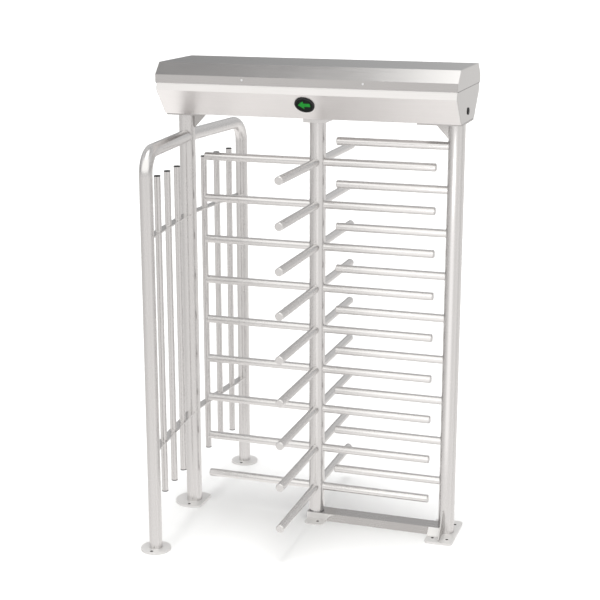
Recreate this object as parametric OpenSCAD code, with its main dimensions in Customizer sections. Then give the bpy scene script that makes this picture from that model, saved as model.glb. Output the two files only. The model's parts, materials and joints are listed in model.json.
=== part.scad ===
// Full-height visitor counter turnstile: a four-wing rotor that turns between a fixed comb and a
// guard rail, under a head that holds the indexing, locking and counting mechanism.
// Millimetres, +Z up. The origin is on the floor, on the rotor's axis. +Y points to the rear.

/* [Overall] */
// Distance from the rotor's axis to each post's axis
post_x = 650; // [640:1:700]
// Height of the top of the head above the floor
head_top = 2220; // [2200:1:2300]

/* [Posts] */
// Outside diameter of both posts and of the rotor's column
post_d = 76; // [70:1:80]
// Wall thickness of the posts and of the column
post_wall = 3; // [2:0.5:4]
// Thickness of the plates under the posts
base_t = 10; // [6:1:12]
// Thickness of the plates that carry the head on the posts
flange_t = 8; // [6:1:10]

/* [Rotor] */
// Number of arm levels on each wing
arm_levels = 9; // [5:1:9]
// Distance from one arm level to the next
arm_pitch = 200; // [190:1:210]
// Height of the lowest arm's axis
arm_first_z = 166; // [150:1:180]
// Distance from the rotor's axis to an arm's tip
arm_reach = 560; // [500:1:565]
// Outside diameter of an arm and of a comb bar
arm_d = 38; // [32:1:42]
// Wall thickness of an arm and of a comb bar
arm_wall = 2; // [1.5:0.5:3]

/* [Comb] */
// Distance from the rotor's axis to the free ends of the comb bars
comb_start_x = 93; // [60:1:120]

/* [Guard] */
// Distance from the rotor's axis to the guard's legs, across the lane
leg_x = 600; // [590:1:640]
// Distance from the rotor's axis to the guard's legs, along the lane
leg_y = 595; // [560:1:640]
// Outside diameter of the bent guard tubes
leg_d = 60; // [50:1:64]
// Height of the axis of the guard's top tubes
guard_top_z = 1860; // [1840:1:1866]
// Radius of the bend between a leg and its top tube
guard_bend_r = 100; // [70:1:120]
// Outside diameter of the upright guard bars
bar_d = 30; // [24:1:34]
// Number of upright bars in each half of the guard
bars_per_half = 3; // [2:1:3]
// Distance from a leg to the first bar
bar_first = 150; // [120:1:160]
// Distance from one bar to the next
bar_pitch = 140; // [120:1:145]
// Height of the lower ends of the bars
bar_bottom_z = 232; // [150:1:300]
// Height of the upper ends of the bars
bar_top_z = 1740; // [1650:1:1760]
// Height of the lower of the two flat rails that hold the bars
rail_low_z = 484; // [400:1:700]
// Height of the upper flat rail
rail_high_z = 1484; // [1300:1:1600]
// Width of a flat rail
rail_w = 42; // [36:1:50]
// Thickness of a flat rail
rail_t = 6; // [4:1:8]

/* [Sill] */
// Width of the sill across the lane's direction
sill_w = 80; // [70:1:90]
// Height of the sill
sill_h = 40; // [36:1:42]
// Thickness of the sill's sheet
sill_t = 3; // [2:0.5:4]

/* [Head] */
// Length of the head
head_l = 1400; // [1380:1:1440]
// Height of the head's underside
head_bottom = 1980; // [1978:1:1984]
// Depth of the head's underside
head_bottom_depth = 280; // [270:1:290]
// Depth of the head where it is widest
head_depth = 480; // [470:1:500]
// Depth of the flat top of the cover
cover_top_depth = 386; // [360:1:400]
// Thickness of the head's sheet
sheet = 2; // [1.5:0.5:2.5]
// Diameter of the direction indicator
indicator_d = 92; // [80:1:96]

/* [Mechanism] */
// Diameter of the drive shaft
shaft_d = 40; // [36:1:40]
// Radius of the locking disc
lock_r = 90; // [88:1:90]

/* [Hidden] */
$fn = 48;

// Gaps: between welded faces, radially in a running fit, between faces that slide, and round
// what passes loosely through a hole. A cutting shape stands out by cut
weld_gap = 0.05;
run_gap = 0.05;
face_gap = 0.3;
loose_gap = 0.2;
cut = 1;

// Colours
steel = [0.78, 0.77, 0.75];
dark_steel = [0.45, 0.46, 0.47];
black = [0.05, 0.05, 0.05];
coil_black = [0.12, 0.12, 0.13];
lens_black = [0.03, 0.05, 0.04];
sign_green = [0.1, 0.75, 0.2];
board_green = [0.05, 0.35, 0.15];
alloy = [0.6, 0.62, 0.63];
brass_tone = [0.78, 0.62, 0.3];

post_r = post_d / 2;
arm_r = arm_d / 2;
leg_r = leg_d / 2;
bar_r = bar_d / 2;
flange_z = head_bottom - flange_t;
comb_first_z = arm_first_z + arm_pitch / 2;
tip_chamfer = 3;
tip_wall = 4;

// Feet: discs under the left post and the legs, and the rectangular plate under the right post
left_foot_r = 95;
left_foot_flat = 60;
left_foot_hole_y = 71;
leg_foot_r = 70;
leg_foot_hole_y = 51;
anchor_d = 14;
base_x = post_x - 10;
base_w = 132;
base_l = 280;
base_corner = 20;
base_hole_dx = 35;
base_hole_dy = 92;
rib_t = 6;
rib_x = post_x - 9;
rib_reach = 128;
rib_top_z = 128;
rib_toe = 4;

// Plates on top of the posts
right_flange_in = 155;
left_flange_in = 105;
flange_out = 48;
flange_l = 250;
gusset_w = 62;
gusset_h = 72;
gusset_edge = 8;
gusset_toe = 2;
bolt_dx = 32;

// Guard: the halves' length and turn, from a leg to the left post, and the bars' caps
half_run = norm([post_x - leg_x, leg_y]);
half_turn = atan((post_x - leg_x) / leg_y);
cap_t = 4;
cap_plug = 14;
bar_wall = 1.5;

// Sill: the leaves and tabs at its rotor end, and the sloping webs at its post end
sill_x0 = -36;
sill_x1 = base_x - base_w / 2 - 2;
tab_w = 98;
tab_reach = 105;
tab_r = 30;
tab_t = 6;
tab_hole = [26, 68];
leaf_w = 148;
leaf_drop = 2;
leaf_scoop_r = 50;
web_reach = 35;
web_t = sill_t + 1;
web_inset = 2;
pivot_clear = 1;

// Head section: underside, widest band, cover skirt and flat top. The front band leans back,
// so that the cover's skirt clears it
half_bottom = head_bottom_depth / 2;
half_band = head_depth / 2;
half_top = cover_top_depth / 2;
band_z = head_bottom + 117;
band_lean = 8;
skirt_z = band_z + 35;
lip_z = skirt_z + 28;
skirt_top_z = skirt_z + 36;
cover_gap = 1;
half_skirt = half_band + cover_gap + sheet;
tray_l = head_l - 2 * (cover_gap + sheet) - 2 * sheet;
taper_angle = atan((half_band - half_bottom) / (band_z - head_bottom));
indicator_z = head_bottom + 70;
indicator_y = half_bottom + (indicator_z - head_bottom) * tan(taper_angle);
bezel_w = 5;
bezel_out = 5;
bezel_in = 12;
bezel_chamfer = 1;
bezel_ledge = 2;
lens_t = 3;
arrow_t = 0.8;
arrow_tip = 30;
arrow_neck = 4;
arrow_tail = 26;
arrow_barb = 24;
arrow_half = 10;
screw_x = 280;
screw_z = skirt_z + 22;
screw_r = 2.3;
screw_hole_r = 2.5;
screw_head_r = 5;
screw_head_h = 2.4;
screw_socket_r = 2;
screw_socket_z = 1;
screw_reach = sheet + cover_gap / 2 + band_lean * (screw_z - band_z) / (lip_z - band_z);

// Hinges of the cover, on the rear of the head
hinge_y = half_skirt + 5.5;
hinge_z = skirt_z;
hinge_x = 450;
knuckle_r = 4.5;
knuckle_l = 20;
leaf_t = 2;
leaf_h = 28;
leaf_start = 4;
leaf_curl = [3.5, 0.5];
hinge_pin_r = 2;
knuckle_gap = 0.4;

// Key switch in the right end of the head
key_z = head_bottom + 45;
key_bezel_r = 16;
key_barrel_r = 9;
key_wall = 4;
key_floor = 4;
key_end_x = head_l / 2;
key_depth = 34;
key_slot_w = 2;
key_slot_depth = 10;

// Frame inside the head
rail_box_w = 40;
rail_box_h = 50;
rail_box_wall = 3;
rail_box_end = 4;
rail_box_y = 110;
rail_box_z = head_bottom + sheet;
plate_z = rail_box_z + rail_box_h;
plate_t = 10;
deck_z = plate_z + plate_t;
plate_x0 = -370;
plate_x1 = 260;
plate_half = 150;
plate_bolt_x = [-350, 240];
bolt_r = 6;
bolt_head_r = 10;
bolt_head_h = 8;

// Bearings
seat_r = 40;
ball_pitch_r = 30;
ball_r = 5.95;
race_r = 6.1;
ball_count = 9;
race_shoulder = 3;
bearing_h = 18;
bearing_z = deck_z - 22;
housing_r = 48;
housing_clear = 0.5;
housing_flange_r = 65;
housing_flange_t = 8;
housing_floor = 4;
housing_lip = 8;
cover_block_x = 105;
cover_block_y = 120;
cover_block_h = 28;
cover_block_z = head_bottom - cover_block_h;
column_top_z = cover_block_z - 2;
column_bottom_z = sill_h + 6;
hub_r = post_r - post_wall - weld_gap;
top_hub_h = 70;
bottom_hub_h = 44;
bush_r = 16;
pivot_r = 12.5;
pivot_top_z = column_bottom_z + 38;
washer_r = 32;
shaft_r = shaft_d / 2;
shaft_pass = 1;
shaft_window = 10;
shaft_chamfer = 1;
shaft_bottom_z = column_top_z - top_hub_h + 5;

// Discs and gears on the drive shaft: their levels, teeth and hubs
gear_teeth = 64;
pinion_teeth = 16;
gear_module = 3;
lock_z = deck_z + 14;
lock_t = 10;
gear_z = deck_z + 36;
gear_t = 12;
shaft_top_z = gear_z + gear_t + 14;
shaft_hub_wall = 12;
lock_hub = [5, 4];
gear_hub = [6, 8];
gear_window_r = 17;
gear_window_x = 62;
gear_r = gear_module * gear_teeth / 2;
pinion_r = gear_module * pinion_teeth / 2;
mesh_r = gear_r + pinion_r;
pinion_t = gear_t + 2;
pinion_z = gear_z - 1;
pressure = 20;
addendum = 0.8;
dedendum = 1.05;
backlash = 0.35;
crank_a = 180;
damper_a = 0;
encoder_a = -45;
crank_disc_r = 22;
crank_disc_t = 6;
crank_throw = 14;
crank_pin_r = 4;
crank_pin_top_z = pinion_z + pinion_t + 13;
stud_r = 6;
stud_seat = 5;
stud_proud = 3;
damper_r = 27;
damper_h = 32;
encoder_r = 22;
encoder_h = 30;
spindle_r = 5;
spindle_in = 6;
spindle_out = 5;
spindle_bore = 8;

// Locking pawls: local X is radial, local Y is along the rim
notch_w = 20;
notch_bottom = 77;
pawl_z = lock_z + 1;
pawl_t = 8;
pawl_pivot = [93, 60];
pawl_boss_r = 12;
pawl_pin_r = 5;
pawl_shoulder_r = 8;
pawl_face_x = 118;
plunger_y = 18;
plunger_r = 6;
plunger_z = pawl_z + pawl_t / 2;
plunger_gap = 0.6;
plunger_l = 32;
pawl_tooth = 7;
rim_gap = 3;
pawl_outline = [
    pawl_pivot + [-6, 8], pawl_pivot + [11, 4], [pawl_face_x, plunger_y + 12],
    [pawl_face_x, -pawl_tooth], [lock_r + rim_gap, -pawl_tooth], [lock_r + rim_gap, pawl_tooth],
    [lock_r + 16, 8], pawl_pivot + [1, -10]
];
solenoid_x = 127;
solenoid_l = 46;
solenoid_w = 34;
lock_a = [45, 225];

// Springs
spring_wire_r = 1.5;
spring_coil_r = 9;
spring_turns = 13;
spring_z = crank_pin_top_z + 4;
spring_start_x = -168;
spring_end_x = -300;
anchor_x = -330;
anchor_base_h = 10;
anchor_proud = 6;
turn_steps = 14;
wire_sides = 6;
eye_r = 7;
eye_steps = 8;
eye_start = 20;
eye_sweep = 320;
pawl_wire_r = 0.9;
pawl_coil_r = 10.4;
pawl_turns = 3.5;
pawl_spring_rest = 1.5;
pawl_spring_tip = [-4, -24];

// Electronics in the ends of the head
board_x = 380;
board_size = [170, 110, 1.6];
board_lift = 15;
board_edge = 8;
board_pillar_r = 3;
relay_count = 4;
relay_size = [20, 16, 16];
relay_at = [-60, 24];
relay_pitch = 30;
terminal_count = 6;
terminal_size = [18, 12, 12];
terminal_at = [-70, -50];
terminal_pitch = 24;
chip_size = [30, 30, 4];
chip_at = [-22, -18];
supply_x = -500;
supply_size = [160, 100, 46];
slot_count = 10;
slot_size = [4, 64, 4];
slot_pitch = 12;
slot_x = -54;
slot_depth = 2;
recess_l = 13;
recess_edge = 6;

// ---- Shared shapes ----

module tube(r, wall, z0, z1) {
    difference() {
        translate([0, 0, z0]) cylinder(r = r, h = z1 - z0);
        translate([0, 0, z0 - cut]) cylinder(r = r - wall, h = z1 - z0 + 2 * cut);
    }
}

module ring(r_out, r_in, z, h) {
    translate([0, 0, z]) difference() {
        cylinder(r = r_out, h = h);
        translate([0, 0, -cut]) cylinder(r = r_in, h = h + 2 * cut);
    }
}

// A bar along +X with one closed, chamfered end, bored from its other end
module closed_bar(x0, x1, r, wall) {
    rotate([0, 90, 0]) difference() {
        translate([0, 0, x0]) union() {
            cylinder(r = r, h = x1 - x0 - tip_chamfer);
            translate([0, 0, x1 - x0 - tip_chamfer])
                cylinder(r1 = r, r2 = r - tip_chamfer, h = tip_chamfer);
        }
        translate([0, 0, x0 - cut]) cylinder(r = r - wall, h = x1 - x0 - tip_wall + cut);
    }
}

// A prism along X from a (y, z) outline
module prism_x(outline, x0, x1) {
    translate([x0, 0, 0]) rotate([90, 0, 90]) linear_extrude(height = x1 - x0) polygon(outline);
}

// A plate in the XZ plane, centred on Y, from an (x, z) outline
module plate_xz(outline, t) {
    translate([0, t / 2, 0]) rotate([90, 0, 0]) linear_extrude(height = t) polygon(outline);
}

module rounded_rect(w, l, r) {
    square([w - 2 * r, l], center = true);
    square([w, l - 2 * r], center = true);
    for (x = [-1, 1], y = [-1, 1]) translate([x * (w / 2 - r), y * (l / 2 - r)]) circle(r = r);
}

module both_sides() {
    children();
    mirror([0, 1, 0]) children();
}

// A shape on a hub that is bored for the drive shaft: hub holds its depth below and above
module on_hub(z, t, hub) {
    h = hub[0] + t + hub[1];
    difference() {
        union() {
            children();
            translate([0, 0, z - hub[0]]) cylinder(r = shaft_r + shaft_hub_wall, h = h);
        }
        translate([0, 0, z - hub[0] - cut]) cylinder(r = shaft_r + weld_gap, h = h + 2 * cut);
    }
}

// The head's outline, open at the top, moved in by the distance d
function tray_outline(d, top_z) = [
    [-half_bottom + d, head_bottom + d], [half_bottom - d, head_bottom + d],
    [half_band - d, band_z], [half_band - d, top_z], [-half_band + band_lean + d, top_z],
    [-half_band + d, band_z]
];

function cover_outline(d) = [
    [-half_skirt + d, skirt_z - (d > 0 ? cut : 0)], [half_skirt - d, skirt_z - (d > 0 ? cut : 0)],
    [half_skirt - d, skirt_top_z - d / 2], [half_top - d / 2, head_top - d],
    [-half_top + d / 2, head_top - d], [-half_skirt + d, skirt_top_z - d / 2]
];

// Involute gear outline with stub teeth
function involute_deg(a) = tan(a) * 180 / PI - a;
function half_tooth(r, rb, rp, teeth) =
    90 / teeth + involute_deg(pressure) - involute_deg(acos(min(1, rb / max(r, rb))))
    - backlash / 4 / rp * 180 / PI;
function gear_outline(teeth) =
    let (
        rp = gear_module * teeth / 2,
        rb = rp * cos(pressure),
        ra = rp + addendum * gear_module,
        root = rp - dedendum * gear_module,
        start = max(rb, root),
        radii = [root, start + 0.01, (start + ra) / 2, ra]
    )
    [for (i = [0:teeth - 1], side = [-1, 1], k = [0:3])
        let (
            r = side < 0 ? radii[k] : radii[3 - k],
            a = i * 360 / teeth + side * half_tooth(r, rb, rp, teeth)
        )
        [r * cos(a), r * sin(a)]
    ];

// A round wire swept along points, with a frame carried from point to point
function unit(v) = v / norm(v);
function path_tangent(p, i) = unit(p[min(i + 1, len(p) - 1)] - p[max(i - 1, 0)]);
function carried(n, t) = unit(n - (n * t) * t);
module wire(p, r, sides, first_normal) {
    normals = [for (i = 0, n = carried(first_normal, path_tangent(p, 0)); i < len(p);
                    i = i + 1, n = carried(n, path_tangent(p, min(i, len(p) - 1)))) n];
    points = [for (i = [0:len(p) - 1])
        let (t = path_tangent(p, i), n = carried(normals[i], t), b = cross(t, n))
        for (k = [0:sides - 1])
            let (a = 360 * k / sides) p[i] + r * (cos(a) * n + sin(a) * b)];
    last = (len(p) - 1) * sides;
    faces = concat(
        [[for (k = [0:sides - 1]) k]],
        [for (i = [0:len(p) - 2], k = [0:sides - 1])
            let (a = i * sides + k, b = i * sides + (k + 1) % sides)
            [a, a + sides, b + sides, b]],
        [[for (k = [0:sides - 1]) last + sides - 1 - k]]);
    polyhedron(points, faces);
}

// ---- Posts and feet ----

module left_post() {
    color(steel) translate([-post_x, 0, 0])
        tube(post_r, post_wall, base_t + weld_gap, flange_z - weld_gap);
}

module right_post() {
    color(steel) translate([post_x, 0, 0])
        tube(post_r, post_wall, base_t + weld_gap, flange_z - weld_gap);
}

module right_post_base() {
    color(steel) translate([base_x, 0, 0]) difference() {
        linear_extrude(height = base_t) rounded_rect(base_w, base_l, base_corner);
        for (x = [-base_hole_dx, base_hole_dx], y = [-base_hole_dy, base_hole_dy])
            translate([x, y, -cut]) cylinder(d = anchor_d, h = base_t + 2 * cut);
    }
}

module foot_disc(r, hole_y) {
    difference() {
        cylinder(r = r, h = base_t);
        for (y = [-hole_y, hole_y])
            translate([0, y, -cut]) cylinder(d = anchor_d, h = base_t + 2 * cut);
    }
}

module round_feet() {
    color(steel) {
        translate([-post_x, 0, 0]) difference() {
            foot_disc(left_foot_r, left_foot_hole_y);
            translate([left_foot_flat, -left_foot_r, -cut])
                cube([left_foot_r, 2 * left_foot_r, base_t + 2 * cut]);
        }
        both_sides() translate([-leg_x, -leg_y, 0]) foot_disc(leg_foot_r, leg_foot_hole_y);
    }
}

module flange(x0, x1, post) {
    difference() {
        translate([x0, -flange_l / 2, flange_z]) cube([x1 - x0, flange_l, flange_t - weld_gap]);
        for (x = [-bolt_dx, bolt_dx], y = [-rail_box_y, rail_box_y])
            translate([post + x, y, flange_z - cut]) cylinder(r = bolt_r + run_gap, h = 3 * flange_t);
    }
}

module post_top_flanges() {
    color(steel) {
        flange(post_x - right_flange_in, post_x + flange_out, post_x);
        flange(-post_x - flange_out, -post_x + left_flange_in, -post_x);
    }
}

module gussets() {
    top = flange_z - weld_gap;
    inner = post_x - post_r;
    upper = [[inner + post_r / 2, top], [inner - gusset_w, top], [inner - gusset_w, top - gusset_edge],
             [inner - gusset_toe, top - gusset_h], [inner + post_r / 2, top - gusset_h]];
    lower = [[-post_r / 2, base_t + weld_gap], [-rib_reach, base_t + weld_gap],
             [-rib_reach, base_t + gusset_edge], [-post_r - rib_toe, rib_top_z],
             [-post_r / 2, rib_top_z]];
    color(steel) {
        for (side = [0, 1]) mirror([side, 0, 0]) difference() {
            plate_xz(upper, rib_t);
            translate([post_x, 0, 0]) cylinder(r = post_r + weld_gap, h = head_top);
        }
        both_sides() difference() {
            prism_x(lower, rib_x - rib_t / 2, rib_x + rib_t / 2);
            translate([post_x, 0, 0]) cylinder(r = post_r + weld_gap, h = head_top);
        }
    }
}

// ---- Comb ----

module comb_bars() {
    color(steel) for (i = [0:arm_levels - 1])
        translate([post_x, 0, comb_first_z + i * arm_pitch]) rotate([0, 0, 180]) difference() {
            closed_bar(post_r / 2, post_x - comb_start_x, arm_r, arm_wall);
            cylinder(r = post_r + weld_gap, h = 3 * arm_d, center = true);
        }
}

// ---- Guard ----

// Each half of the guard runs from its leg to the left post, along its own +Y
module in_guard_half() {
    translate([-leg_x, -leg_y, 0]) rotate([0, 0, half_turn]) children();
}

module without_left_post() {
    difference() {
        children();
        translate([-post_x, 0, 0]) cylinder(r = post_r + weld_gap, h = head_top);
    }
}

module guard_run(r, extra) {
    bend_z = guard_top_z - guard_bend_r;
    translate([0, 0, base_t + weld_gap - extra])
        cylinder(r = r, h = bend_z - base_t - weld_gap + extra);
    translate([0, guard_bend_r, bend_z]) mirror([0, 1, 0]) rotate([90, 0, 90])
        rotate_extrude(angle = 90) translate([guard_bend_r, 0]) circle(r = r);
    translate([0, guard_bend_r, guard_top_z]) rotate([-90, 0, 0])
        cylinder(r = r, h = half_run - guard_bend_r + extra);
}

module guard_tube() {
    without_left_post() in_guard_half() difference() {
        guard_run(leg_r, 0);
        guard_run(leg_r - post_wall, cut);
    }
}

module guard_tube_front() {
    color(steel) guard_tube();
}

module guard_tube_rear() {
    color(steel) mirror([0, 1, 0]) guard_tube();
}

module guard_rails() {
    color(steel) both_sides() for (z = [rail_low_z, rail_high_z])
        without_left_post() in_guard_half() difference() {
            translate([-rail_w / 2, 0, z - rail_t / 2]) cube([rail_w, half_run, rail_t]);
            translate([0, 0, z]) cylinder(r = leg_r + weld_gap, h = 2 * rail_t, center = true);
            for (i = [0:bars_per_half - 1]) translate([0, bar_first + i * bar_pitch, z])
                cylinder(r = bar_r + weld_gap, h = 2 * rail_t, center = true);
        }
}

module at_bars() {
    both_sides() in_guard_half() for (i = [0:bars_per_half - 1])
        translate([0, bar_first + i * bar_pitch, 0]) children();
}

module guard_bars() {
    color(steel) at_bars()
        tube(bar_r, bar_wall, bar_bottom_z + cap_t + weld_gap, bar_top_z - cap_t - weld_gap);
}

module bar_cap() {
    cylinder(r = bar_r, h = cap_t);
    translate([0, 0, cap_t - cut]) cylinder(r = bar_r - bar_wall - weld_gap, h = cap_plug);
}

module guard_bar_caps() {
    color(black) at_bars() {
        translate([0, 0, bar_bottom_z]) bar_cap();
        translate([0, 0, bar_top_z]) rotate([180, 0, 0]) bar_cap();
    }
}

// ---- Sill and floor pivot ----

module sill() {
    color(steel) difference() {
        union() {
            difference() {
                translate([sill_x0, -sill_w / 2, 0]) cube([sill_x1 - sill_x0, sill_w, sill_h]);
                translate([sill_x0 - cut, -sill_w / 2 + sill_t, -cut])
                    cube([sill_x1 - sill_x0 + 2 * cut, sill_w - 2 * sill_t, sill_h - sill_t + cut]);
            }
            translate([sill_x1 - cut, -sill_w / 2, sill_h - sill_t])
                cube([post_x - sill_x1 + cut, sill_w, sill_t]);
        }
        translate([post_x, 0, 0]) cylinder(r = post_r + weld_gap, h = 2 * sill_h);
        cylinder(r = pivot_r + pivot_clear, h = 2 * sill_h);
        translate([post_x, -sill_w, -cut]) cube([post_d, 2 * sill_w, 2 * sill_h]);
        both_sides() translate([rib_x - rib_t / 2 - weld_gap, -rib_reach, 0])
            cube([post_d, rib_reach - post_r / 2, 2 * sill_h]);
    }
}

module sill_bracket() {
    face = -sill_w / 2 - weld_gap;
    difference() {
        translate([sill_x0, face - sill_t, 0]) cube([leaf_w, sill_t, sill_h - leaf_drop]);
        translate([sill_x0 + leaf_w, 0, sill_h - leaf_drop - leaf_scoop_r]) rotate([90, 0, 0])
            cylinder(r = leaf_scoop_r, h = sill_w);
    }
    difference() {
        linear_extrude(height = tab_t) {
            translate([sill_x0, -tab_reach + tab_r]) square([tab_w, tab_reach - tab_r + face]);
            translate([sill_x0 + tab_r, -tab_reach]) square([tab_w - 2 * tab_r, tab_reach + face]);
            for (x = [sill_x0 + tab_r, sill_x0 + tab_w - tab_r])
                translate([x, -tab_reach + tab_r]) circle(r = tab_r);
        }
        translate([tab_hole[0], -tab_hole[1], -cut]) cylinder(d = anchor_d, h = tab_t + 2 * cut);
    }
}

module sill_web() {
    y = -sill_w / 2 - weld_gap;
    z = base_t + weld_gap;
    prism_x([[y, sill_h], [y - web_reach, z], [y - web_reach + web_t, z], [y, sill_h - web_t]],
            sill_x1 + web_inset, rib_x - rib_t / 2 - weld_gap);
}

module sill_brackets() {
    color(steel) both_sides() {
        sill_bracket();
        sill_web();
    }
}

module floor_pivot() {
    color(dark_steel) {
        translate([sill_x0 + sill_t, -sill_w / 2 + sill_t + pivot_clear, 0])
            cube([tab_w - sill_t, sill_w - 2 * (sill_t + pivot_clear), base_t]);
        cylinder(r = pivot_r, h = pivot_top_z);
    }
}

module thrust_washer() {
    color(brass_tone)
        ring(washer_r, pivot_r + loose_gap, sill_h + weld_gap, column_bottom_z - sill_h - face_gap);
}

// ---- Head ----

module tray_holes() {
    for (p = [-post_x, post_x], x = [-bolt_dx, bolt_dx], y = [-rail_box_y, rail_box_y])
        translate([p + x, y, head_bottom - cut]) cylinder(r = bolt_r + run_gap, h = 3 * sheet);
    translate([0, 0, head_bottom - cut]) cylinder(r = shaft_r + shaft_window, h = 3 * sheet);
    both_sides() at_indicator() translate([0, 0, -bezel_in - cut])
        cylinder(r = indicator_d / 2 - bezel_w + run_gap, h = bezel_in + 2 * cut);
}

module at_indicator() {
    translate([0, -indicator_y, indicator_z]) rotate([90 + taper_angle, 0, 0]) children();
}

module head_tray() {
    color(steel) difference() {
        prism_x(tray_outline(0, lip_z), -tray_l / 2, tray_l / 2);
        prism_x(tray_outline(sheet, lip_z + cut), -tray_l / 2 - cut, tray_l / 2 + cut);
        tray_holes();
    }
}

module head_ends() {
    color(steel) for (side = [-1, 1]) difference() {
        prism_x(tray_outline(0, lip_z), side * (tray_l / 2 + sheet / 2) - sheet / 2 + weld_gap,
                side * (tray_l / 2 + sheet / 2) + sheet / 2 - weld_gap);
        if (side > 0) translate([tray_l / 2 - cut, 0, key_z]) rotate([0, 90, 0])
            cylinder(r = key_barrel_r + key_wall + run_gap, h = 3 * sheet + cut);
    }
}

module head_cover() {
    color(steel) difference() {
        prism_x(cover_outline(0), -head_l / 2, head_l / 2);
        prism_x(cover_outline(sheet), -head_l / 2 + sheet, head_l / 2 - sheet);
        for (x = [-screw_x, screw_x]) translate([x, -half_skirt - cut, screw_z]) rotate([-90, 0, 0])
            cylinder(r = screw_hole_r, h = sheet + 2 * cut);
    }
}

module cover_screws() {
    color(dark_steel) for (x = [-screw_x, screw_x])
        translate([x, -half_skirt, screw_z]) rotate([90, 0, 0]) {
            translate([0, 0, weld_gap]) difference() {
                cylinder(r = screw_head_r, h = screw_head_h);
                translate([0, 0, screw_socket_z])
                    cylinder(r = screw_socket_r, h = screw_head_h, $fn = 6);
            }
            translate([0, 0, -screw_reach]) cylinder(r = screw_r, h = screw_reach + cut / 2);
        }
}

// A leaf that lies on the face at y, below the pin (way -1) or above it (way 1)
function leaf_outline(y, way, neck) = [
    [y, hinge_z + way * (leaf_start + leaf_h)],
    [y + leaf_t, hinge_z + way * (leaf_start + leaf_h)],
    [y + leaf_t, hinge_z + way * (leaf_start + neck)],
    [hinge_y + hinge_pin_r, hinge_z + way * leaf_curl[0]],
    [hinge_y - hinge_pin_r, hinge_z + way * leaf_curl[1]],
    [y, hinge_z + way * neck]
];

module knuckle(x0, x1) {
    translate([x0, hinge_y, hinge_z]) rotate([0, 90, 0]) cylinder(r = knuckle_r, h = x1 - x0);
}

module hinge_leaves_fixed() {
    half = knuckle_l / 2;
    color(dark_steel) for (x = [-hinge_x, hinge_x]) {
        prism_x(leaf_outline(half_band + weld_gap, -1, 5), x - half, x + half);
        knuckle(x - half, x + half);
        translate([x - 3 * half, hinge_y, hinge_z]) rotate([0, 90, 0])
            cylinder(r = hinge_pin_r, h = 6 * half);
    }
}

module hinge_leaves_moving() {
    half = knuckle_l / 2;
    gap = knuckle_gap;
    color(dark_steel) for (x = [-hinge_x, hinge_x], side = [-1, 1]) {
        x0 = x + side * (2 * half + gap / 2) - half + gap / 2;
        difference() {
            union() {
                prism_x(leaf_outline(half_skirt + weld_gap, 1, 3), x0, x0 + 2 * half - gap);
                knuckle(x0, x0 + 2 * half - gap);
            }
            translate([x0 - cut, hinge_y, hinge_z]) rotate([0, 90, 0])
                cylinder(r = hinge_pin_r + run_gap, h = 2 * half + 2 * cut);
        }
    }
}

module indicator_bezels() {
    r = indicator_d / 2;
    color(black) both_sides() at_indicator() difference() {
        union() {
            translate([0, 0, weld_gap]) cylinder(r = r, h = bezel_out - bezel_chamfer);
            translate([0, 0, bezel_out - bezel_chamfer])
                cylinder(r1 = r, r2 = r - bezel_chamfer, h = bezel_chamfer);
            translate([0, 0, -bezel_in]) cylinder(r = r - bezel_w, h = bezel_in + cut);
        }
        cylinder(r = r - bezel_w - bezel_ledge, h = 2 * bezel_out);
    }
}

module indicator_lenses() {
    color(lens_black) both_sides() at_indicator() translate([0, 0, weld_gap])
        cylinder(r = indicator_d / 2 - bezel_w - bezel_ledge - weld_gap, h = lens_t);
}

module indicator_arrows() {
    color(sign_green) both_sides() at_indicator() translate([0, 0, lens_t + 2 * weld_gap])
        linear_extrude(height = arrow_t) polygon([
            [-arrow_tip, 0], [-arrow_neck, arrow_barb], [-arrow_neck, arrow_half],
            [arrow_tail, arrow_half], [arrow_tail, -arrow_half], [-arrow_neck, -arrow_half],
            [-arrow_neck, -arrow_barb]]);
}

module key_switch() {
    color(black) translate([key_end_x, 0, key_z]) rotate([0, 90, 0]) difference() {
        union() {
            translate([0, 0, -sheet - cover_gap + weld_gap])
                cylinder(r = key_bezel_r, h = sheet + cover_gap - weld_gap);
            translate([0, 0, -key_depth])
                cylinder(r = key_barrel_r + key_wall, h = key_depth - cut);
        }
        translate([0, 0, -key_depth + key_floor])
            cylinder(r = key_barrel_r + run_gap, h = key_depth);
    }
}

module key_barrel() {
    color(dark_steel) translate([key_end_x, 0, key_z]) rotate([0, 90, 0]) difference() {
        translate([0, 0, -key_depth + key_floor + cut])
            cylinder(r = key_barrel_r, h = key_depth - key_floor - cut);
        translate([-key_barrel_r / 2, -key_slot_w / 2, -key_slot_depth])
            cube([key_barrel_r, key_slot_w, key_slot_depth + cut]);
    }
}

// ---- Frame inside the head ----

module frame_rails() {
    wall = rail_box_wall;
    color(dark_steel) both_sides() difference() {
        translate([-tray_l / 2 + rail_box_end, -rail_box_y - rail_box_w / 2, rail_box_z + weld_gap])
            cube([tray_l - 2 * rail_box_end, rail_box_w, rail_box_h - 2 * weld_gap]);
        translate([-tray_l / 2, -rail_box_y - rail_box_w / 2 + wall, rail_box_z + wall])
            cube([tray_l, rail_box_w - 2 * wall, rail_box_h - 2 * wall]);
        for (p = [-post_x, post_x], x = [-bolt_dx, bolt_dx])
            translate([p + x, -rail_box_y, rail_box_z - cut])
                cylinder(r = bolt_r + run_gap, h = rail_box_h + 2 * cut);
        for (x = plate_bolt_x) translate([x, -rail_box_y, rail_box_z + rail_box_h / 2])
            cylinder(r = bolt_r + run_gap, h = rail_box_h);
    }
}

// A hexagon-head bolt whose head stands on z = 0
module bolt(shank) {
    translate([0, 0, weld_gap]) cylinder(r = bolt_head_r, h = bolt_head_h, $fn = 6);
    translate([0, 0, -shank]) cylinder(r = bolt_r, h = shank + cut);
}

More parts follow.
